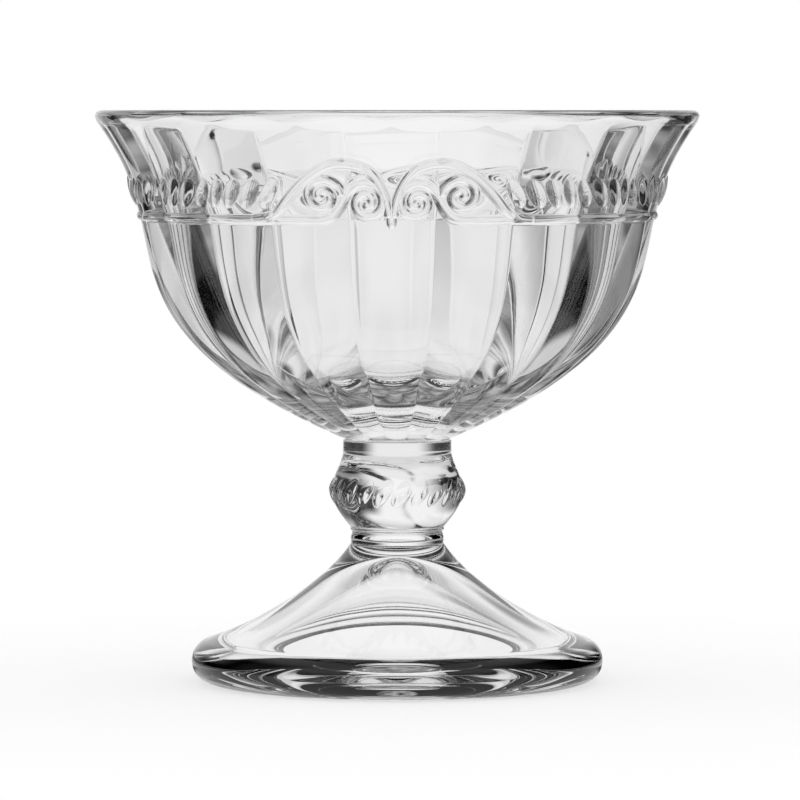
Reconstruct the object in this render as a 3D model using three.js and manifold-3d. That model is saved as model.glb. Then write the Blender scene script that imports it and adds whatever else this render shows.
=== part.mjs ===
// Footed dessert glass in clear pressed glass: a fluted bowl, a beaded knop stem and a hollow foot.
// Millimetres, +Z up. The glass stands on z = 0, and the middle of a scroll ornament faces -Y.
import * as THREE from 'three';
import { mergeVertices } from 'three/addons/utils/BufferGeometryUtils.js';
import Module from 'manifold-3d';

const wasm = await Module();
wasm.setup();

// Heights of the three fused pieces, from the table up
const FOOT_HEIGHT = 25;
const STEM_HEIGHT = 18.75;
const BOWL_HEIGHT = 59.25;

// Bowl: convex flutes outside, a smooth round hollow inside. Diameters are over the middles of the flutes,
// and the grooves between flutes are as deep as a share of the radius.
const FLUTES = 20;
const BELLY_GROOVE = 0.03;
const RIM_GROOVE = 0.014;
const GROOVE_RISE = 4;
const GROOVE_FADE = 10;
const GROOVE_END = 2.6;
const RIM_DIAMETER = 108.6;
const BAND_DIAMETER = 92.7;
const BAND_HEIGHT = 40.25;
const BOWL_BASE_DIAMETER = 18.5;
const LIP_HEIGHT = 2;
const LIP_ROUND = 1.1;
const RIM_WALL = 3.1;
const BAND_WALL = 3.2;
const FLOOR_THICKNESS = 8.5;

// Stem: lower collar, beaded knop, upper collar
const LOWER_COLLAR_DIAMETER = 16.6;
const LOWER_COLLAR_HEIGHT = 2.1;
const NECK_RING_DIAMETER = 17;
const NECK_RING_HEIGHT = 1;
const COLLAR_GROOVE = 0.3;
const KNOP_DIAMETER = 24;
const KNOP_EQUATOR_HEIGHT = 9.6;
const UPPER_COLLAR_DIAMETER = 19.6;
const UPPER_COLLAR_HEIGHT = 2.5;

// Foot: a flared cone, hollow underneath, standing on a narrow flat ring
const FOOT_DIAMETER = 74.2;
const FOOT_TOP_DIAMETER = 16.8;
const FOOT_EDGE_ROUND = 3.85;
const FOOT_LAND_WIDTH = 2;
const FOOT_CROWN = 4.8;
const FOOT_HOLLOW_BEND = 3.2;
const FOOT_HOLLOW_INSET = 2.25;

// Ornament pressed on the bowl: a moulding line, leaning beads above it, and a pair of scrolls front and back
const ORNAMENTS = 2;
const ORNAMENT_FLUTES = 3;
const ORNAMENT_HALF_WIDTH = 22.5;
const MOULDING_ROUND = 0.75;
const MOULDING_END = 14;
const ARCH_ROUND = 0.65;
const SCROLL_ROUND = 0.55;
const RIDGE_SINK = 0.15;
const OUTER_SCROLL = { middle: [12.1, 4.2], start: 3.3, end: 0.7, from: 180, turns: -1.5 };
const INNER_SCROLL = { middle: [4.4, 3.1], start: 3.35, end: 0.75, from: 90, turns: 1.6 };
const BEADS_PER_FLUTE = 4;
const BEAD = { wide: 2.5, long: 5.8, proud: 0.55, lean: 35, height: 4.7 };
const DROP = { wide: 1.8, long: 2.8, proud: 0.7, height: 0.3 };
const KNOP_BEADS = 22;
const KNOP_BEAD = { wide: 2.3, long: 5.5, proud: 0.4, lean: 32, turn: 4.5 };

// Facets of the turned surfaces and the beads
const FLUTE_FACETS = 3;
const TURNED_SIDES = 36;
const STEM_SIDES = 44;
const BEAD_FACETS = [6, 4];
const BOWL_STEPS = { belly: 9, flare: 4, floor: 8, rim: 3, moulding: 3, lip: 2 };
const FOOT_STEPS = { edge: 5, cone: 6, bend: 3, crown: 6 };
const KNOP_STEPS = 4;
const ORNAMENT_STEPS = { arch: 14, innerScroll: 25, outerScroll: 19, leaf: 3, spiral: 18 };

const glass = { color: 0xf4f8f7, roughness: 0.04, metalness: 0, transparent: true, opacity: 0.45 };

// Profile points are (radius, height). A curve's pulls are its two handles, each as a share of the span.
function curve(from, to, firstPull, secondPull, steps) {
  const span = to.clone().sub(from);
  const first = from.clone().add(span.clone().multiply(new THREE.Vector2(...firstPull)));
  const second = from.clone().add(span.clone().multiply(new THREE.Vector2(...secondPull)));
  return new THREE.CubicBezierCurve(from, first, second, to).getPoints(steps);
}

function arc(radius, height, round, fromDegrees, toDegrees, steps) {
  const start = THREE.MathUtils.degToRad(fromDegrees);
  const end = THREE.MathUtils.degToRad(toDegrees);
  const path = new THREE.EllipseCurve(radius, height, round, round, start, end, end < start);
  return path.getPoints(steps);
}

function at(radius, height) {
  return new THREE.Vector2(radius, height);
}

function solid(geometry) {
  const bare = geometry.clone();
  bare.deleteAttribute('normal');
  bare.deleteAttribute('uv');
  const merged = mergeVertices(bare, 1e-4);
  const vertProperties = new Float32Array(merged.attributes.position.array);
  const triVerts = new Uint32Array(merged.index.array);
  return new wasm.Manifold(new wasm.Mesh({ numProp: 3, vertProperties, triVerts }));
}

function turned(profile, sides = TURNED_SIDES) {
  const lathe = new THREE.LatheGeometry(profile, sides);
  lathe.rotateX(Math.PI / 2);
  return solid(lathe);
}

function pieceMesh(name, body, height) {
  const { vertProperties, triVerts } = body.getMesh();
  const geometry = new THREE.BufferGeometry();
  geometry.setAttribute('position', new THREE.BufferAttribute(vertProperties, 3));
  geometry.setIndex(new THREE.BufferAttribute(triVerts, 1));
  geometry.computeVertexNormals();
  const mesh = new THREE.Mesh(geometry, new THREE.MeshStandardMaterial(glass));
  mesh.name = name;
  mesh.position.z = height;
  return mesh;
}

// Outer profile of the bowl along the middle of a flute: the belly up to the band and the flare above it
const band = at(BAND_DIAMETER / 2, BAND_HEIGHT);
const lipStart = at(RIM_DIAMETER / 2 - LIP_ROUND * 0.25, BOWL_HEIGHT - LIP_HEIGHT);
const belly = curve(at(BOWL_BASE_DIAMETER / 2, 0), band, [0.938, 0.366], [0.925, 0.693], BOWL_STEPS.belly);
const flare = curve(band, lipStart, [0.28, 0.39], [0.18, 0.44], BOWL_STEPS.flare);
const wallProfile = [...belly, ...flare.slice(1)];

// Inner profile of the bowl, from the middle of its floor to the rim
function hollowProfile() {
  const rimRadius = RIM_DIAMETER / 2 - RIM_WALL;
  const waist = at(BAND_DIAMETER / 2 - BAND_WALL, BAND_HEIGHT);
  const rim = at(rimRadius, BOWL_HEIGHT - LIP_ROUND);
  const lower = curve(at(0, FLOOR_THICKNESS), waist, [0.84, 0], [0.9, 0.62], BOWL_STEPS.floor);
  const upper = curve(waist, rim, [0.2, 0.357], [0.57, 0.687], BOWL_STEPS.rim);
  const lipRound = arc(rimRadius + LIP_ROUND, BOWL_HEIGHT - LIP_ROUND, LIP_ROUND, 180, 90, BOWL_STEPS.lip);
  return [...lower, ...upper.slice(1), ...lipRound.slice(1)];
}

// Flutes: angles are counted from the front, heights from the bowl's base
const FLUTE_ANGLE = 2 * Math.PI / FLUTES;
const FACET_ANGLE = FLUTE_ANGLE / FLUTE_FACETS;

function fluteShare(angle, height) {
  const rise = THREE.MathUtils.clamp(height / GROOVE_RISE, 0, 1);
  const fade = THREE.MathUtils.clamp((height - BAND_HEIGHT) / GROOVE_FADE, 0, 1);
  const end = THREE.MathUtils.clamp((BOWL_HEIGHT - LIP_ROUND - height) / GROOVE_END, 0, 1);
  const depth = rise * end * THREE.MathUtils.lerp(BELLY_GROOVE, RIM_GROOVE, fade);
  const fromMiddle = angle / FLUTE_ANGLE - Math.round(angle / FLUTE_ANGLE);
  return 1 - depth * (2 * fromMiddle) ** 2;
}

function fluted(profile) {
  const lathe = new THREE.LatheGeometry(profile, FLUTES * FLUTE_FACETS, FLUTE_ANGLE / 2);
  lathe.rotateX(Math.PI / 2);
  const place = lathe.attributes.position;
  for (let corner = 0; corner < place.count; corner += 1) {
    const angle = Math.atan2(place.getX(corner), -place.getY(corner));
    const share = fluteShare(angle, place.getZ(corner));
    place.setXY(corner, place.getX(corner) * share, place.getY(corner) * share);
  }
  return solid(lathe);
}

// Places on the fluted wall
function profileRadius(height) {
  const above = wallProfile.findIndex((point) => point.y >= height);
  const low = wallProfile[above - 1];
  const high = wallProfile[above];
  return THREE.MathUtils.mapLinear(height, low.y, high.y, low.x, high.x);
}

function wallPoint(angle, height, sink) {
  const start = FACET_ANGLE * (Math.floor(angle / FACET_ANGLE + FLUTE_FACETS / 2) - FLUTE_FACETS / 2);
  const end = start + FACET_ANGLE;
  const first = fluteShare(start, height);
  const last = fluteShare(end, height);
  const chord = first * Math.sin(angle - start) + last * Math.sin(end - angle);
  const radius = profileRadius(height) * first * last * Math.sin(FACET_ANGLE) / chord - sink;
  return new THREE.Vector3(radius * Math.sin(angle), -radius * Math.cos(angle), height);
}

// A bead is an ellipsoid whose middle lies on the surface, leaning in the surface's plane
function beadOn(place, angle, slope, bead, lean) {
  const geometry = new THREE.SphereGeometry(0.5, ...BEAD_FACETS);
  geometry.scale(bead.wide, 2 * bead.proud, bead.long);
  geometry.rotateY(THREE.MathUtils.degToRad(lean));
  geometry.rotateX(slope);
  geometry.rotateZ(angle);
  geometry.translate(place.x, place.y, place.z);
  return solid(geometry);
}

function wallBead(angle, bead, lean) {
  const height = BAND_HEIGHT + bead.height;
  const step = bead.long / 4;
  const slope = Math.atan2(profileRadius(height + step) - profileRadius(height - step), 2 * step);
  return beadOn(wallPoint(angle, height, RIDGE_SINK), angle, slope, bead, lean);
}

// A ridge is a rod along a path on the wall, sunk to about half its depth
function ridge(places, round, steps) {
  const laid = places.map(([angle, height]) => wallPoint(angle, height, RIDGE_SINK));
  const section = new THREE.Shape(new THREE.EllipseCurve(0, 0, round, round).getPoints(4).slice(0, 4));
  const extrudePath = new THREE.CatmullRomCurve3(laid);
  return solid(new THREE.ExtrudeGeometry(section, { steps, bevelEnabled: false, extrudePath }));
}

// Angle round the bowl of a distance from an ornament's middle
function ornamentAngle(distance) {
  return distance / ORNAMENT_HALF_WIDTH * ORNAMENT_FLUTES * FLUTE_ANGLE / 2;
}

function scroll({ middle, start, end, from, turns }) {
  return Array.from({ length: ORNAMENT_STEPS.spiral + 1 }, (_, step) => {
    const share = step / ORNAMENT_STEPS.spiral;
    const angle = THREE.MathUtils.degToRad(from + 360 * turns * share);
    const radius = THREE.MathUtils.lerp(start, end, share);
    return at(middle[0] + radius * Math.cos(angle), middle[1] + radius * Math.sin(angle));
  });
}

// One half of an ornament: x runs round the bowl from the ornament's middle, y up from the moulding
function ornament(side, turn) {
  const archRise = [at(ORNAMENT_HALF_WIDTH, 0), at(20.2, 2.1), at(17, 5.3), at(13.9, 7.9), at(10.3, 9.8)];
  const archFall = [at(7.6, 10), at(4.5, 9.1), at(2.5, 7.1), at(1.1, 4.2), at(0.25, 1)];
  const rise = [at(MOULDING_END, 0), at(11.6, 0.15), at(9.7, 1.4), at(8.3, 3.3), at(7.4, 5), at(6.2, 6.15)];
  const leaf = [at(7.3, 5.2), at(6.4, 6.8), at(4.4, 7.9)];
  const onWall = (path) => path.map(({ x, y }) => [turn + side * ornamentAngle(x), BAND_HEIGHT + y]);
  return [
    ridge(onWall([...archRise, ...archFall]), ARCH_ROUND, ORNAMENT_STEPS.arch),
    ridge(onWall([...rise, ...scroll(INNER_SCROLL)]), SCROLL_ROUND, ORNAMENT_STEPS.innerScroll),
    ridge(onWall(scroll(OUTER_SCROLL)), SCROLL_ROUND, ORNAMENT_STEPS.outerScroll),
    ridge(onWall(leaf), SCROLL_ROUND, ORNAMENT_STEPS.leaf),
  ];
}

function beadRow() {
  const pitch = FLUTE_ANGLE / BEADS_PER_FLUTE;
  const sector = 2 * Math.PI / ORNAMENTS;
  const first = ORNAMENT_FLUTES * BEADS_PER_FLUTE / 2;
  const last = Math.round(sector / pitch) - first;
  const beads = [];
  for (let turn = 0; turn < ORNAMENTS; turn += 1) {
    for (let place = first; place <= last; place += 1) {
      const lean = BEAD.lean * Math.sign(place - (first + last) / 2);
      beads.push(wallBead(turn * sector + place * pitch, BEAD, lean));
    }
  }
  return beads;
}

function bowlRelief() {
  const pieces = beadRow();
  for (let turn = 0; turn < ORNAMENTS; turn += 1) {
    const angle = turn * 2 * Math.PI / ORNAMENTS;
    pieces.push(...ornament(-1, angle), ...ornament(1, angle), wallBead(angle, DROP, 0));
  }
  return pieces.reduce((joined, piece) => joined.add(piece));
}

function bowlBody() {
  const moulding = arc(band.x - RIDGE_SINK, BAND_HEIGHT, MOULDING_ROUND, -80, 50, BOWL_STEPS.moulding);
  const lip = arc(RIM_DIAMETER / 2 - LIP_ROUND, BOWL_HEIGHT - LIP_ROUND, LIP_ROUND, 0, 90, BOWL_STEPS.lip);
  const wallOutline = [...belly.slice(0, -1), ...moulding, ...flare.slice(1), ...lip];
  const outside = [at(0, 0), ...wallOutline, at(0, BOWL_HEIGHT)];
  const above = BOWL_HEIGHT + LIP_HEIGHT;
  const inside = hollowProfile();
  const mouth = inside[inside.length - 1].x;
  const hollow = [...inside, at(mouth, above), at(0, above)];
  return fluted(outside).add(bowlRelief()).subtract(turned(hollow));
}

function stemBody() {
  const collar = LOWER_COLLAR_DIAMETER / 2;
  const neck = NECK_RING_DIAMETER / 2;
  const upper = UPPER_COLLAR_DIAMETER / 2;
  const neckTop = LOWER_COLLAR_HEIGHT + NECK_RING_HEIGHT;
  const knopTop = STEM_HEIGHT - UPPER_COLLAR_HEIGHT;
  const equator = at(KNOP_DIAMETER / 2, KNOP_EQUATOR_HEIGHT);
  const profile = [
    at(0, 0),
    at(collar, 0),
    at(collar, LOWER_COLLAR_HEIGHT - COLLAR_GROOVE),
    at(collar - COLLAR_GROOVE, LOWER_COLLAR_HEIGHT),
    at(neck, LOWER_COLLAR_HEIGHT + COLLAR_GROOVE),
    ...curve(at(neck, neckTop), equator, [0.5, 0.3], [1, 0.7], KNOP_STEPS),
    ...curve(equator, at(upper, knopTop), [0, 0.25], [0.85, 0.7], KNOP_STEPS).slice(1),
    at(upper, STEM_HEIGHT),
    at(0, STEM_HEIGHT),
  ];
  const beads = Array.from({ length: KNOP_BEADS }, (_, place) => {
    const angle = THREE.MathUtils.degToRad(KNOP_BEAD.turn) + place * 2 * Math.PI / KNOP_BEADS;
    const middle = new THREE.Vector3(equator.x * Math.sin(angle), -equator.x * Math.cos(angle), equator.y);
    return beadOn(middle, angle, 0, KNOP_BEAD, KNOP_BEAD.lean);
  });
  return beads.reduce((joined, bead) => joined.add(bead), turned(profile, STEM_SIDES));
}

function footBody() {
  const edge = FOOT_DIAMETER / 2 - FOOT_EDGE_ROUND;
  const top = at(FOOT_TOP_DIAMETER / 2, FOOT_HEIGHT);
  const rounding = arc(edge, FOOT_EDGE_ROUND, FOOT_EDGE_ROUND, -90, 72, FOOT_STEPS.edge);
  const cone = curve(rounding[rounding.length - 1], top, [0.384, 0.185], [0.846, 0.634], FOOT_STEPS.cone);
  const outside = [at(0, 0), ...rounding, ...cone.slice(1), at(0, FOOT_HEIGHT)];
  const land = edge - FOOT_LAND_WIDTH;
  const bend = at(land - FOOT_HOLLOW_INSET, FOOT_HOLLOW_BEND);
  const below = -FOOT_LAND_WIDTH;
  const hollow = [
    at(0, below),
    at(land, below),
    ...curve(at(land, 0), bend, [0, 0.4], [0.4, 0.85], FOOT_STEPS.bend),
    ...curve(bend, at(0, FOOT_HEIGHT - FOOT_CROWN), [0.38, 0.22], [0.82, 1], FOOT_STEPS.crown).slice(1),
  ];
  return turned(outside).subtract(turned(hollow));
}

const group = new THREE.Group();
group.add(pieceMesh('foot', footBody(), 0));
group.add(pieceMesh('stem', stemBody(), FOOT_HEIGHT));
group.add(pieceMesh('bowl', bowlBody(), FOOT_HEIGHT + STEM_HEIGHT));

export default group;
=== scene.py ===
import math

import bpy
import numpy as np
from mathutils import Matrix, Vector


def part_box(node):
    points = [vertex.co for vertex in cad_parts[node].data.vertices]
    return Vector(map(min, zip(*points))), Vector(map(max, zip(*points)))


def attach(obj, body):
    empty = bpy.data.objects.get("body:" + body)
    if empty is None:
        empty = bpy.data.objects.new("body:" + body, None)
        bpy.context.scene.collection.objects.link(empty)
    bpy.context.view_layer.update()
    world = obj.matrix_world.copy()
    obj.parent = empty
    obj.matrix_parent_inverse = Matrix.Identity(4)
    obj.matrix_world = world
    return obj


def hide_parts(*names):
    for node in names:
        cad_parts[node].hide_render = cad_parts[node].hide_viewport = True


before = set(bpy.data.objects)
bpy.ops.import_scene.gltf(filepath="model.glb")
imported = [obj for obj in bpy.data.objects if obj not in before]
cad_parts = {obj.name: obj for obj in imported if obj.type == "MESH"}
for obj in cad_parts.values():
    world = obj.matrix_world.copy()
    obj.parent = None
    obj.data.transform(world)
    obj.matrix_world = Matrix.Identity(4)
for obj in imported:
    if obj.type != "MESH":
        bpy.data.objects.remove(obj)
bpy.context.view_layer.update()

MM = 0.001

# Lengths in millimetres. Heights on a piece are counted from its lower end.
FOOT_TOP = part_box("foot")[1][2] / MM
BOWL_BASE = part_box("bowl")[0][2] / MM
RIM_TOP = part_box("bowl")[1][2] / MM
BOWL_HEIGHT = RIM_TOP - BOWL_BASE
STEM_HEIGHT = BOWL_BASE - FOOT_TOP

# Bowl. A curve's two pulls are shares of its span in radius and height.
RIM_RADIUS = 54.3
BAND_RADIUS = 46.35
BAND_HEIGHT = 40.25
BASE_RADIUS = 9.25
LIP_HEIGHT = 2.0
LIP_ROUND = 1.1
LIP_LEAN = 0.25 * LIP_ROUND
RIM_WALL = 3.1
BAND_WALL = 3.2
FLOOR_THICKNESS = 8.5
BELLY_PULLS = ((0.938, 0.366), (0.925, 0.693))
FLARE_PULLS = ((0.28, 0.39), (0.18, 0.44))
INNER_BELLY_PULLS = ((0.84, 0), (0.9, 0.62))
INNER_FLARE_PULLS = ((0.2, 0.357), (0.57, 0.687))

# Flutes of the bowl, with grooves as deep as a share of the radius
FLUTES = 20
FLUTE_ANGLE = 2 * math.pi / FLUTES
BELLY_GROOVE = 0.03
RIM_GROOVE = 0.02
GROOVE_ROUND = 0.3
GROOVE_RISE = 4
GROOVE_END = 2.6
GROOVE_CHANGE = (BAND_HEIGHT - 2, BAND_HEIGHT + 8)

# Ornament on the bowl: places are (across from its middle, up from the moulding), ridges (half width, height)
ORNAMENT_HALF_WIDTH = 22.5
ORNAMENT_HALF_ANGLE = 1.5 * FLUTE_ANGLE
ORNAMENT_REACH = 27
ORNAMENT_STRETCH = 1.03
RELIEF_LOW = BAND_HEIGHT - 1.6
RELIEF_HIGH = BAND_HEIGHT + 11.4
ARCH = [(26, 0.05), (23.4, 0.4), (20.9, 1.7), (17.2, 5.2), (13.9, 7.9), (10.6, 9.75), (7.8, 10.05),
        (4.6, 9.2), (2.6, 7.2), (1.15, 4.2), (0.45, 1.2)]
RISE = [(15, 0), (12.6, 0.0), (10.7, 0.6), (9.3, 2.1), (8.2, 3.9), (7.2, 5.4), (5.9, 6.35)]
LEAF = [(7.9, 4.9), (7.2, 6.4), (6.0, 7.4), (4.6, 7.9)]
LEAF_TAPER = 0.8
INNER_SCROLL = {"middle": (4.45, 3.2), "start": 3.4, "end": 0.6, "from_degrees": 90, "turns": 1.45}
OUTER_SCROLL = {"middle": (12.1, 4.3), "start": 3.45, "end": 0.6, "from_degrees": 170, "turns": -1.4}
ARCH_RIDGE = (0.9, 0.65)
SCROLL_RIDGE = (0.85, 0.6)
MOULDING_RIDGE = (0.85, 0.55)
MOULDING_START = (13.6, 15)

# Beads: half width, half length, lean and height
DROP = (0.95, 1.5, 0, 0.6)
BEAD = (1.3, 2.95, math.radians(-35), 0.62)
UPRIGHT_BEAD = (*BEAD[:2], 0, BEAD[3])
KNOP_BEAD = (1.2, 2.75, math.radians(32), 0.38)
BEAD_FULLNESS = 0.9
BEAD_ROW_HEIGHT = 4.7
BEAD_PITCH = FLUTE_ANGLE / 4
QUARTER_BEADS = 15
KNOP_BEADS = 22
KNOP_BEAD_TURN = math.radians(4.5)

# Stem
COLLAR_RADIUS = 8.3
COLLAR_TOP = (COLLAR_RADIUS - 0.15, 1.95)
COLLAR_PULLS = ((-1, 0.3), (-1, 0.7))
COLLAR_GROOVE = (COLLAR_RADIUS + 0.05, 2.2, 0.22)
COLLAR_GROOVE_DEGREES = (230, 140)
NECK_RADIUS = 8.5
NECK_ROUND = 0.25
NECK_DEGREES = (-40, 60)
NECK_MIDDLE = 2.65
NECK_TOP = 3.1
KNOP_RADIUS = 12.0
KNOP_EQUATOR = 9.6
KNOP_LOWER_PULLS = ((0.5, 0.3), (1, 0.7))
KNOP_UPPER_PULLS = ((0, 0.25), (0.85, 0.7))
UPPER_COLLAR_RADIUS = 9.8
UPPER_COLLAR_HEIGHT = 2.5
UPPER_COLLAR_ROUND = 0.3
UPPER_COLLAR_MARGINS = (0.2, 0.35)

# Foot
FOOT_RADIUS = 37.1
FOOT_TOP_RADIUS = 8.4
FOOT_EDGE_ROUND = 3.85
FOOT_EDGE_DEGREES = (72, -90)
FOOT_LAND_WIDTH = 2.0
FOOT_CROWN = 4.8
CONE_PULLS = ((0.384, 0.185), (0.846, 0.634))
HOLLOW_BEND = (29.0, 3.2)
HOLLOW_EDGE_PULLS = ((0, 0.4), (0.4, 0.85))
HOLLOW_CROWN_PULLS = ((0.38, 0.22), (0.82, 1))

# Fineness of the meshes
BELLY_ROWS, BAND_ROWS, FLARE_ROWS = 64, 96, 24
ORNAMENT_DEGREES = 30
ORNAMENT_COLUMNS, SIDE_COLUMNS = 180, 240
INNER_STRIDE = 4
STEM_COLUMNS = 480
FOOT_COLUMNS = 256
ANGLE_SLACK = 1e-9
WALL_STEPS = {"belly": 400, "flare": 200}
LIP_STEPS = {"outside": 8, "inside": 6}
INSIDE_STEPS = {"flare": 24, "floor": 60}
STEM_STEPS = {"collar": 10, "groove": 5, "neck": 6, "knop": 44, "upper_collar": 8, "rounding": 5}
FOOT_STEPS = {"cone": 70, "edge": 40, "hollow_edge": 12, "crown": 70}
STRAND_SPACING = 0.08
SCROLL_STEPS = 40

# Glass: clear, with a faint tint and cast waviness
GLASS_IOR = 1.52
TINTS = ((0.976, 0.978, 0.977, 1), (0.994, 0.996, 0.995, 1))
TINT_SCALE = 30.0
WAVE_SCALE = 90.0
WAVE_DETAIL = 1.0
WAVE_STRENGTH = 0.06
WAVE_DEPTH = 0.0004

# Painted glow: where light has been reflected inside the bowl more often than this, the glass glows in clouds
# between these levels
DEEP_REFLECTIONS = 2.5
DEEP_LEVELS = (0.02, 0.4)
CLOUD_SCALE = 150.0
CLOUD_SPAN = (0.3, 0.7)

# Surroundings as the glass sees them, where 1 is white. Spans of height are sines of the angle above the floor.
BACKDROP_LEVELS = (0.93, 0.6)
BACKDROP_FADE = (0.3, 0.7)
BACKDROP_RISE = (0.1, 0.35)
SIDE_LEVELS = (0.01, 0.12)
OVERHEAD = 0.75
OVERHEAD_RISE = (0.55, 0.85)
ZENITH = 0.05
ZENITH_RISE = (0.93, 0.985)
FRONT_LEVELS = (0.3, 0.9)
FRONT_RISE = (0.2, 0.5)
FRONT_REACH = (-0.5, 0.0)

# Angles round the glass in degrees, counted from behind it
LOW_BACKDROP = ((-50, -10), (4, 21))
HIGH_BACKDROP = ((-75, -30), (20, 48))
FLOOR_BEHIND = ((-36, -14), (12, 29))
BACK_SHADOW = ((-30, -14), (14, 30))
CONTACT_SHADOW = ((-90, -70), (70, 90))
ASIDE_TURN = (70, 88)
FRONT_TURN = (135, 155)

# Levels of the painted light and shade that the floor glows with as the glass sees it, and distances in metres
# from the glass's axis over which they change
FLOOR_UNDER = 0.95
FLOOR_SHADOW = 0.02
FLOOR_BESIDE = 0.8
FLOOR_NEAR_SIDE = 0.6
FLOOR_PAINTED_DARK = 0.004
FLOOR_FAR_SIDES = (0.68, 0.26)
FLOOR_HORIZON = 0.01
FLOOR_ASIDE = 0.5
FLOOR_BACK_LEVELS = (0.7, 0.85)
FLOOR_FRONT_LEVELS = (1.0, 0.25)
UNDER_END = (0.034, 0.037)
CONTACT_END = (0.042, 0.05)
SHADOW_END = (0.055, 0.065)
BACK_FADE = (0.08, 0.13)
NEAR_SIDE_END = (0.095, 0.115)
PAINTED_DARK_END = (0.18, 0.22)
FRONT_FADE = (0.2, 0.3)
FAR_SIDE_END = (0.33, 0.4)
LEFT_TO_RIGHT = (-0.1, 0.1)

# Floor as the camera sees it
FLOOR_GREY = (0.5, 0.5, 0.5, 1)
FLOOR_GLOW = 0.55
FLOOR_HALF_SIDE = 4.0
FLOOR_GAP = 0.0001

# Camera, as in the photograph
CAMERA_DISTANCE = 0.99
CAMERA_AZIMUTH = math.radians(1.15)
CAMERA_LENS = 247.5
CAMERA_SENSOR = 36
AIM_HEIGHT = 0.0508
AIM_SIDE = 0.0005


# Profiles: points are (radius, height)
def curve(start, end, pulls, steps):
    start, end = np.array(start, float), np.array(end, float)
    first, second = (start + (end - start) * pull for pull in pulls)
    t = np.linspace(0, 1, steps + 1)[:, None]
    s = 1 - t
    return s ** 3 * start + 3 * s ** 2 * t * first + 3 * s * t ** 2 * second + t ** 3 * end


def arc(radius, height, rounding, from_degrees, to_degrees, steps):
    a = np.radians(np.linspace(from_degrees, to_degrees, steps + 1))
    return np.column_stack([radius + rounding * np.cos(a), height + rounding * np.sin(a)])


def smooth_step(low, high, x):
    t = np.clip((x - low) / (high - low), 0, 1)
    return t * t * (3 - 2 * t)


def spline(points):
    """Points along a smooth curve through the given ones."""
    p = np.array(points, float)
    p = np.vstack([2 * p[0] - p[1], p, 2 * p[-1] - p[-2]])
    out = []
    for a, b, c, d in zip(p[:-3], p[1:-2], p[2:-1], p[3:]):
        count = max(2, int(np.linalg.norm(c - b) / STRAND_SPACING))
        t = np.linspace(0, 1, count, endpoint=False)[:, None]
        out.append(0.5 * (2 * b + (c - a) * t + (2 * a - 5 * b + 4 * c - d) * t ** 2
                          + (3 * b - a - 3 * c + d) * t ** 3))
    return np.vstack(out + [p[-2:-1]])


def scroll(middle, start, end, from_degrees, turns):
    share = np.linspace(0, 1, SCROLL_STEPS + 1)
    a = np.radians(from_degrees + 360 * turns * share)
    radius = start + (end - start) * share
    return [(middle[0] + r * math.cos(x), middle[1] + r * math.sin(x)) for r, x in zip(radius, a)]


# Meshes from rings of points
def ring_faces(rings, starts):
    """Faces between rings, where a ring has as many points as the one before or a whole share of them."""
    faces = []
    for i in range(len(rings) - 1):
        n, m = len(rings[i]), len(rings[i + 1])
        a, b = starts[i], starts[i + 1]
        if n == m:
            k = np.arange(n)
            j = (k + 1) % n
            faces.extend(np.column_stack([a + k, a + j, b + j, b + k]).tolist())
        else:
            step = n // m
            for k in range(m):
                fine = [a + (k * step + s) % n for s in range(step + 1)]
                faces.append(fine + [b + (k + 1) % m, b + k])
    return faces


def ring_mesh(name, rings, weld_first=False, weld_last=False):
    """A closed mesh from rings with a disc at both ends, and the discs that are fused to the next piece."""
    starts = np.cumsum([0] + [len(r) for r in rings])
    faces = ring_faces(rings, starts)
    weld = [len(faces) + i for i, fused in enumerate((weld_first, weld_last)) if fused]
    faces.append(list(range(starts[0], starts[1]))[::-1])
    faces.append(list(range(starts[-2], starts[-1])))
    mesh = bpy.data.meshes.new(name)
    mesh.from_pydata((np.vstack(rings) * MM).tolist(), [], faces)
    mesh.validate()
    mesh.polygons.foreach_set("use_smooth", [True] * len(mesh.polygons))
    obj = bpy.data.objects.new(name, mesh)
    bpy.context.scene.collection.objects.link(obj)
    return obj, weld


def ring_points(radius, height, angles):
    """A ring of points, with angles counted from the front (-Y) towards +X."""
    radius = np.broadcast_to(radius, angles.shape)
    height = np.broadcast_to(height, angles.shape)
    return np.column_stack([radius * np.sin(angles), -radius * np.cos(angles), height])


def full_turn(count):
    return np.linspace(0, 2 * math.pi, count, endpoint=False)


def quarter_to_full(quarter):
    """Angles all round from those of one quarter, mirrored about both planes of symmetry."""
    back = math.pi - quarter[::-1][1:]
    half = np.concatenate([quarter, back])
    return np.concatenate([half[:-1], half[:-1] + math.pi])


def flute_share(angles, depth):
    """Radius of the fluted wall over that of the flutes' middles, with rounded grooves between flutes."""
    half = FLUTE_ANGLE / 2
    from_middle = np.abs(angles - FLUTE_ANGLE * np.round(angles / FLUTE_ANGLE))
    own = 1 - depth * (from_middle / half) ** 2
    neighbour = 1 - depth * ((FLUTE_ANGLE - from_middle) / half) ** 2
    soft = depth * GROOVE_ROUND
    overlap = np.maximum(soft - np.abs(own - neighbour), 0) / soft
    return np.maximum(own, neighbour) + overlap ** 2 * soft / 4


# Relief heights on one quarter of the bowl's band
def ridge_height(distance, half_width, height):
    return height * np.clip(1 - (distance / half_width) ** 2, 0, None)


def strand_height(u, y, path, half_width, height, taper):
    path = spline(path)
    best = np.full(u.shape, np.inf)
    place = np.zeros(u.shape)
    for i, (a, b) in enumerate(path):
        d = (u - a) ** 2 + (y - b) ** 2
        nearer = d < best
        best = np.where(nearer, d, best)
        place = np.where(nearer, i / (len(path) - 1), place)
    size = 1 - taper * place
    return ridge_height(np.sqrt(best), half_width * size, height * size)


def bead_height(du, dy, half_wide, half_long, lean, height):
    along = dy * math.cos(lean) + du * math.sin(lean)
    across = du * math.cos(lean) - dy * math.sin(lean)
    return height * np.clip(1 - (along / half_long) ** 2 - (across / half_wide) ** 2, 0, None) ** BEAD_FULLNESS


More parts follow.
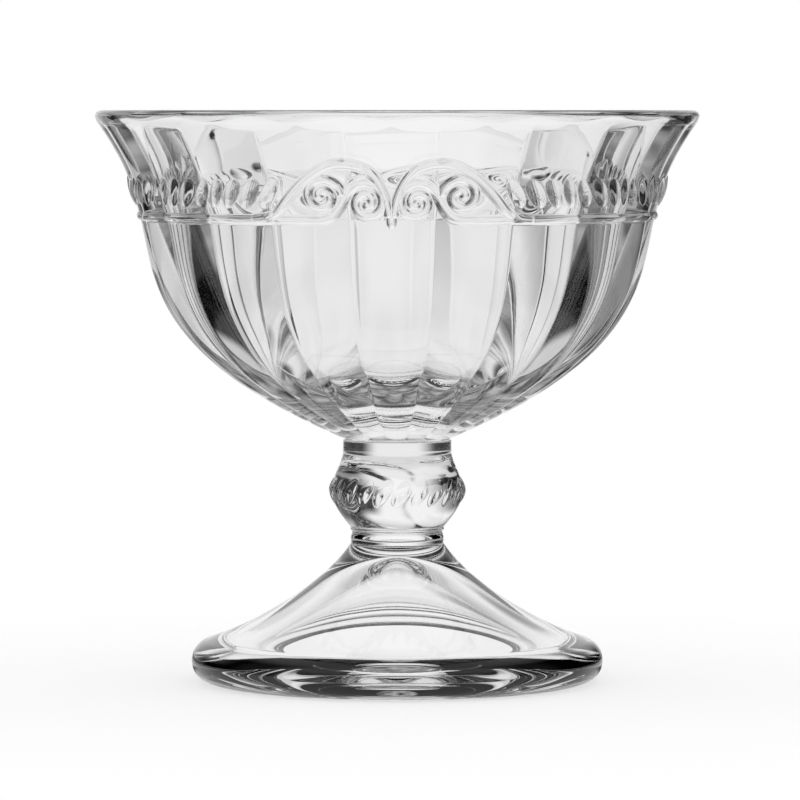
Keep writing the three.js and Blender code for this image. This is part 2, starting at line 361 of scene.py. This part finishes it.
def relief(quarter, heights):
    """Height of the ornament above the wall on a grid of heights and quarter angles."""
    angle, z = np.meshgrid(quarter, heights)
    u = angle * ORNAMENT_HALF_WIDTH / ORNAMENT_HALF_ANGLE
    y = (z - BAND_HEIGHT) * ORNAMENT_STRETCH
    raised = ridge_height(y, *MOULDING_RIDGE) * smooth_step(*MOULDING_START, u)
    near = u < ORNAMENT_REACH
    strands = ((ARCH, ARCH_RIDGE, 0), (RISE + scroll(**INNER_SCROLL), SCROLL_RIDGE, 0),
               (scroll(**OUTER_SCROLL), SCROLL_RIDGE, 0), (LEAF, SCROLL_RIDGE, LEAF_TAPER))
    for path, ridge, taper in strands:
        raised[near] = np.maximum(raised[near], strand_height(u[near], y[near], path, *ridge, taper))
    raised = np.maximum(raised, bead_height(u, y, *DROP))
    for i in range(QUARTER_BEADS):
        middle = ORNAMENT_HALF_WIDTH + i * BEAD_PITCH * ORNAMENT_HALF_WIDTH / ORNAMENT_HALF_ANGLE
        bead = UPRIGHT_BEAD if i == QUARTER_BEADS - 1 else BEAD
        raised = np.maximum(raised, bead_height(u - middle, y - BEAD_ROW_HEIGHT, *bead))
    return raised


# The three pieces
def bowl_wall():
    """Rows of the bowl's outer wall below the lip: radius, height and slope."""
    band = (BAND_RADIUS, BAND_HEIGHT)
    lip_start = (RIM_RADIUS - LIP_LEAN, BOWL_HEIGHT - LIP_HEIGHT)
    belly = curve((BASE_RADIUS, 0), band, BELLY_PULLS, WALL_STEPS["belly"])
    flare = curve(band, lip_start, FLARE_PULLS, WALL_STEPS["flare"])
    wall = np.vstack([belly, flare[1:]])
    length = np.concatenate([[0], np.cumsum(np.linalg.norm(np.diff(wall, axis=0), axis=1))])
    relief_start, relief_end = np.interp([RELIEF_LOW, RELIEF_HIGH], wall[:, 1], length)
    places = np.concatenate([
        np.linspace(0, relief_start, BELLY_ROWS, endpoint=False),
        np.linspace(relief_start, relief_end, BAND_ROWS, endpoint=False),
        np.linspace(relief_end, length[-1], FLARE_ROWS),
    ])
    radius = np.interp(places, length, wall[:, 0])
    height = np.interp(places, length, wall[:, 1])
    slope = np.arctan2(np.gradient(radius, places), np.gradient(height, places))
    return radius, height, slope


def bowl_inside():
    """Points down the bowl's inside, from the top of the lip to near the middle of its floor."""
    rim = (RIM_RADIUS - RIM_WALL, BOWL_HEIGHT - LIP_ROUND)
    waist = (BAND_RADIUS - BAND_WALL, BAND_HEIGHT)
    return np.vstack([
        arc(rim[0] + LIP_ROUND, rim[1], LIP_ROUND, 90, 180, LIP_STEPS["inside"]),
        curve(waist, rim, INNER_FLARE_PULLS, INSIDE_STEPS["flare"])[::-1][1:],
        curve((0, FLOOR_THICKNESS), waist, INNER_BELLY_PULLS, INSIDE_STEPS["floor"])[::-1][1:-1],
    ])


def bowl_piece():
    radius, height, slope = bowl_wall()
    quarter = np.radians(np.concatenate([
        np.linspace(0, ORNAMENT_DEGREES, ORNAMENT_COLUMNS, endpoint=False),
        np.linspace(ORNAMENT_DEGREES, 90, SIDE_COLUMNS + 1),
    ]))
    angles = quarter_to_full(quarter)
    in_quarter = np.abs((angles + math.pi / 2) % math.pi - math.pi / 2)
    column = np.searchsorted(quarter, in_quarter - ANGLE_SLACK)
    belly_share = flute_share(angles, BELLY_GROOVE)
    rim_share = flute_share(angles, RIM_GROOVE)
    rows = (height > RELIEF_LOW) & (height < RELIEF_HIGH)
    raised = np.zeros((len(height), len(quarter)))
    raised[rows] = relief(quarter, height[rows])

    lip_base = BOWL_HEIGHT - LIP_ROUND
    rings = []
    for r, z, tilt, h in zip(radius, height, slope, raised):
        above = smooth_step(*GROOVE_CHANGE, z)
        share = above * rim_share + (1 - above) * belly_share
        depth = smooth_step(0, GROOVE_RISE, z) * smooth_step(lip_base, lip_base - GROOVE_END, z)
        ring = r * (depth * share + (1 - depth))
        up = h[column]
        rings.append(ring_points(ring + up * math.cos(tilt), z - up * math.sin(tilt), angles))
    for r, z in arc(RIM_RADIUS - LIP_ROUND, lip_base, LIP_ROUND, 0, 90, LIP_STEPS["outside"]):
        rings.append(ring_points(r, z, angles))
    for r, z in bowl_inside():
        rings.append(ring_points(r, z, angles[::INNER_STRIDE]))
    raise_by = np.array([0, 0, BOWL_BASE])
    return ring_mesh("bowl_glass", [ring + raise_by for ring in rings], weld_first=True)


def stem_piece():
    equator = (KNOP_RADIUS, KNOP_EQUATOR)
    knop_top = (UPPER_COLLAR_RADIUS, STEM_HEIGHT - UPPER_COLLAR_HEIGHT)
    collar_low, collar_high = UPPER_COLLAR_MARGINS
    collar = np.linspace(knop_top[1] + collar_low, STEM_HEIGHT - collar_high, STEM_STEPS["upper_collar"])
    rounding = UPPER_COLLAR_ROUND
    profile = np.vstack([
        curve((COLLAR_RADIUS, 0), COLLAR_TOP, COLLAR_PULLS, STEM_STEPS["collar"]),
        arc(*COLLAR_GROOVE, *COLLAR_GROOVE_DEGREES, STEM_STEPS["groove"]),
        arc(NECK_RADIUS - NECK_ROUND, NECK_MIDDLE, NECK_ROUND, *NECK_DEGREES, STEM_STEPS["neck"]),
        curve((NECK_RADIUS, NECK_TOP), equator, KNOP_LOWER_PULLS, STEM_STEPS["knop"]),
        curve(equator, knop_top, KNOP_UPPER_PULLS, STEM_STEPS["knop"])[1:],
        np.column_stack([np.full(len(collar), UPPER_COLLAR_RADIUS), collar]),
        arc(UPPER_COLLAR_RADIUS - rounding, STEM_HEIGHT - rounding, rounding, 0, 90, STEM_STEPS["rounding"]),
        [(BASE_RADIUS, STEM_HEIGHT)],
    ])
    angles = full_turn(STEM_COLUMNS)
    pitch = 2 * math.pi / KNOP_BEADS
    nearest = (angles - KNOP_BEAD_TURN + pitch / 2) % pitch - pitch / 2
    rings = []
    for r, z in profile:
        beads = [bead_height((nearest + neighbour * pitch) * KNOP_RADIUS, z - KNOP_EQUATOR, *KNOP_BEAD)
                 for neighbour in (-1, 0, 1)]
        rings.append(ring_points(r + np.max(beads, axis=0), z + FOOT_TOP, angles))
    return ring_mesh("stem_glass", rings, weld_first=True, weld_last=True)


def foot_piece():
    edge = FOOT_RADIUS - FOOT_EDGE_ROUND
    land = edge - FOOT_LAND_WIDTH
    rounding = arc(edge, FOOT_EDGE_ROUND, FOOT_EDGE_ROUND, *FOOT_EDGE_DEGREES, FOOT_STEPS["edge"])
    crown = (0, FOOT_TOP - FOOT_CROWN)
    profile = np.vstack([
        [(COLLAR_RADIUS, FOOT_TOP)],
        curve(rounding[0], (FOOT_TOP_RADIUS, FOOT_TOP), CONE_PULLS, FOOT_STEPS["cone"])[::-1][:-1],
        rounding,
        curve((land, 0), HOLLOW_BEND, HOLLOW_EDGE_PULLS, FOOT_STEPS["hollow_edge"]),
        curve(HOLLOW_BEND, crown, HOLLOW_CROWN_PULLS, FOOT_STEPS["crown"])[1:-1],
    ])
    angles = full_turn(FOOT_COLUMNS)
    rings = [ring_points(r, z, angles) for r, z in profile[::-1]]
    return ring_mesh("foot_glass", rings, weld_last=True)


# Materials
class Shading:
    """Nodes of a material or of the world. An input is a number, a colour or the output of another node."""

    def __init__(self, tree):
        self.nodes, self.links = tree.nodes, tree.links
        self.nodes.clear()

    def fill(self, node, inputs):
        for name, value in inputs.items():
            if isinstance(value, bpy.types.NodeSocket):
                self.links.new(value, node.inputs[name])
            else:
                node.inputs[name].default_value = value

    def add(self, kind, inputs=None):
        node = self.nodes.new("ShaderNode" + kind)
        self.fill(node, inputs or {})
        return node

    def number(self, operation, *values):
        """The result of an operation on one or two values."""
        node = self.add("Math", dict(enumerate(values)))
        node.operation = operation
        return node.outputs["Value"]

    def ramp(self, value, span, levels=(0.0, 1.0)):
        """A soft step of a value over a span, from the first level to the second."""
        node = self.add("MapRange")
        node.interpolation_type = "SMOOTHSTEP"
        self.fill(node, {"Value": value, "From Min": span[0], "From Max": span[1],
                         "To Min": levels[0], "To Max": levels[1]})
        return node.outputs["Result"]

    def turn_ramp(self, angle, degrees, levels=(0.0, 1.0)):
        """A soft step of an angle over a span in degrees."""
        return self.ramp(angle, [math.radians(d) for d in degrees], levels)

    def window(self, angle, sides):
        """1 behind the glass, fading to 0 over a span of degrees at its left and another at its right."""
        left, right = sides
        return self.number("MULTIPLY", self.turn_ramp(angle, left), self.turn_ramp(angle, right, (1.0, 0.0)))

    def blend(self, share, first, second):
        return self.add("Mix", {"Factor": share, "A": first, "B": second}).outputs["Result"]

    def noise(self, scale, detail=2.0):
        place = self.add("TexCoord").outputs["Object"]
        return self.add("TexNoise", {"Vector": place, "Scale": scale, "Detail": detail}).outputs["Fac"]

    def around(self, coordinates):
        """X, Y and Z of a place or direction, and its angle from behind the glass (+Y) towards +X."""
        place = self.add("TexCoord").outputs[coordinates]
        x, y, z = self.add("SeparateXYZ", {"Vector": place}).outputs
        return x, y, z, self.number("ARCTAN2", x, y)


def new_material(name):
    material = bpy.data.materials.new(name)
    material.use_nodes = True
    return material, Shading(material.node_tree)


def painted_deep_glow(shading, surface):
    """The surface, with a painted glow, soft and grey, where light has been reflected many times inside the
    glass.
    """
    path = shading.add("LightPath")
    deep = shading.number("GREATER_THAN", path.outputs["Glossy Depth"], DEEP_REFLECTIONS)
    level = shading.ramp(shading.noise(CLOUD_SCALE), CLOUD_SPAN, DEEP_LEVELS)
    # painted glow in noise clouds, in place of the light reflected deep inside the glass
    inside = shading.add("Emission", {"Strength": level}).outputs["Emission"]
    return shading.add("MixShader", {"Fac": deep, 1: surface, 2: inside}).outputs["Shader"]


def glass_material(name, thick):
    """Clear pressed glass which, where it is thick, also shows a painted glow for its deep light."""
    material, shading = new_material(name)
    tint = shading.add("Mix")
    tint.data_type = "RGBA"
    shading.fill(tint, {"Factor": shading.noise(TINT_SCALE), "A": TINTS[0], "B": TINTS[1]})
    bump = shading.add("Bump", {"Strength": WAVE_STRENGTH, "Distance": WAVE_DEPTH,
                                "Height": shading.noise(WAVE_SCALE, WAVE_DETAIL)})
    glass = shading.add("BsdfPrincipled", {
        "Transmission Weight": 1.0,
        "Roughness": 0.0,
        "IOR": GLASS_IOR,
        "Base Color": tint.outputs["Result"],
        "Normal": bump.outputs["Normal"],
    })
    surface = glass.outputs["BSDF"]
    if thick:
        surface = painted_deep_glow(shading, surface)
        material.cycles.emission_sampling = "NONE"
    shading.add("OutputMaterial", {"Surface": surface})
    return material


def weld_material():
    """The fused joint inside the glass, where light goes straight on."""
    material, shading = new_material("fused_joint")
    shading.add("OutputMaterial", {"Surface": shading.add("BsdfTransparent").outputs["BSDF"]})
    return material


def painted_floor_light(shading):
    """The floor's painted light and shade as the glass sees it: bright behind and in front, painted dark at
    both sides, with a painted shadow beside and behind the foot.
    """
    x, y, _, angle = shading.around("Object")
    turn = shading.number("ABSOLUTE", angle)
    squares = [shading.number("MULTIPLY", part, part) for part in (x, y)]
    radius = shading.number("SQRT", shading.number("ADD", *squares))

    far = shading.ramp(x, LEFT_TO_RIGHT, FLOOR_FAR_SIDES)
    far = shading.blend(shading.ramp(radius, FAR_SIDE_END), far, FLOOR_HORIZON)
    far = shading.blend(shading.turn_ramp(turn, ASIDE_TURN), far, FLOOR_ASIDE)
    # painted dark patch on the floor at both sides, seen only by the glass
    side = shading.blend(shading.ramp(radius, PAINTED_DARK_END), FLOOR_PAINTED_DARK, far)
    side = shading.blend(shading.ramp(radius, NEAR_SIDE_END), FLOOR_NEAR_SIDE, side)

    front_fade = shading.ramp(radius, FRONT_FADE, FLOOR_FRONT_LEVELS)
    front = shading.number("MULTIPLY", shading.turn_ramp(turn, FRONT_TURN), front_fade)
    opening = shading.number("MAXIMUM", shading.window(angle, FLOOR_BEHIND), front)
    level = shading.blend(opening, side, shading.ramp(radius, BACK_FADE, FLOOR_BACK_LEVELS))

    # painted shadow beside and behind the foot, seen only by the glass
    near_foot = shading.ramp(radius, CONTACT_END, (1.0, 0.0))
    contact = shading.number("MULTIPLY", shading.window(angle, CONTACT_SHADOW), near_foot)
    shadow = shading.number("MAXIMUM", shading.window(angle, BACK_SHADOW), contact)
    beside = shading.blend(shadow, FLOOR_BESIDE, FLOOR_SHADOW)
    level = shading.blend(shading.ramp(radius, SHADOW_END), beside, level)
    return shading.blend(shading.ramp(radius, UNDER_END), FLOOR_UNDER, level)


def floor_material():
    """White to the camera, and to the glass a painted glow as bright as each place's level of painted light and
    shade.
    """
    material, shading = new_material("floor")
    # the floor glows with painted light and shade for every ray but the camera's
    painted_glow = shading.add("Emission", {"Strength": painted_floor_light(shading)}).outputs["Emission"]
    diffuse = shading.add("BsdfDiffuse", {"Color": FLOOR_GREY}).outputs["BSDF"]
    glow = shading.add("Emission", {"Strength": FLOOR_GLOW}).outputs["Emission"]
    white = shading.add("AddShader", {0: diffuse, 1: glow}).outputs["Shader"]
    to_camera = shading.add("LightPath").outputs["Is Camera Ray"]
    surface = shading.add("MixShader", {"Fac": to_camera, 1: painted_glow, 2: white}).outputs["Shader"]
    shading.add("OutputMaterial", {"Surface": surface})
    return material


# Studio
def studio_level(shading):
    """The studio as the glass sees it: a white backdrop, dark sides and soft light above and in front."""
    _, y, z, angle = shading.around("Generated")
    low, high = shading.window(angle, LOW_BACKDROP), shading.window(angle, HIGH_BACKDROP)
    backdrop = shading.blend(shading.ramp(z, BACKDROP_RISE), low, high)
    backdrop = shading.number("MULTIPLY", backdrop, shading.ramp(z, BACKDROP_FADE, BACKDROP_LEVELS))
    sides = shading.turn_ramp(shading.number("ABSOLUTE", angle), ASIDE_TURN, SIDE_LEVELS)
    above = shading.ramp(z, OVERHEAD_RISE, (0.0, OVERHEAD))
    above = shading.number("MULTIPLY", above, shading.ramp(z, ZENITH_RISE, (1.0, ZENITH)))
    front = shading.ramp(y, FRONT_REACH, (1.0, 0.0))
    front = shading.number("MULTIPLY", front, shading.ramp(z, FRONT_RISE, FRONT_LEVELS))
    level = backdrop
    for light in (sides, above, front):
        level = shading.number("MAXIMUM", level, light)
    return level


def build_world():
    """White to the camera and on the floor, and to the glass as bright as each direction's own level."""
    world = bpy.data.worlds.new("studio")
    bpy.context.scene.world = world
    world.use_nodes = True
    shading = Shading(world.node_tree)
    path = shading.add("LightPath")
    plain = shading.number("MAXIMUM", path.outputs["Is Camera Ray"], path.outputs["Is Diffuse Ray"])
    strength = shading.blend(plain, studio_level(shading), 1.0)
    background = shading.add("Background", {"Color": (1, 1, 1, 1), "Strength": strength})
    shading.add("OutputWorld", {"Surface": background.outputs["Background"]})


def build_floor():
    mesh = bpy.data.meshes.new("floor")
    corners = [(x * FLOOR_HALF_SIDE, y * FLOOR_HALF_SIDE, 0) for x, y in ((-1, -1), (1, -1), (1, 1), (-1, 1))]
    mesh.from_pydata(corners, [], [(0, 1, 2, 3)])
    floor = bpy.data.objects.new("floor", mesh)
    bpy.context.scene.collection.objects.link(floor)
    floor.location.z = -FLOOR_GAP
    mesh.materials.append(floor_material())


def build_camera():
    data = bpy.data.cameras.new("camera")
    camera = bpy.data.objects.new("camera", data)
    bpy.context.scene.collection.objects.link(camera)
    data.lens = CAMERA_LENS
    data.sensor_width = CAMERA_SENSOR
    side = Vector((math.cos(CAMERA_AZIMUTH), math.sin(CAMERA_AZIMUTH), 0))
    back = Vector((math.sin(CAMERA_AZIMUTH), -math.cos(CAMERA_AZIMUTH), 0))
    camera.location = back * CAMERA_DISTANCE + side * AIM_SIDE + Vector((0, 0, RIM_TOP * MM))
    aim = side * AIM_SIDE + Vector((0, 0, AIM_HEIGHT))
    camera.rotation_euler = (aim - camera.location).to_track_quat("-Z", "Y").to_euler()
    bpy.context.scene.camera = camera


def main():
    weld = weld_material()
    for build, node in ((bowl_piece, "bowl"), (stem_piece, "stem"), (foot_piece, "foot")):
        piece, weld_faces = build()
        piece.data.materials.append(glass_material(node + "_glass", node == "bowl"))
        piece.data.materials.append(weld)
        for face in weld_faces:
            piece.data.polygons[face].material_index = 1
            piece.data.polygons[face].use_smooth = False
        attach(piece, "root")
        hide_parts(node)
    build_world()
    build_floor()
    build_camera()
    bpy.context.scene.view_settings.view_transform = "Standard"


main()
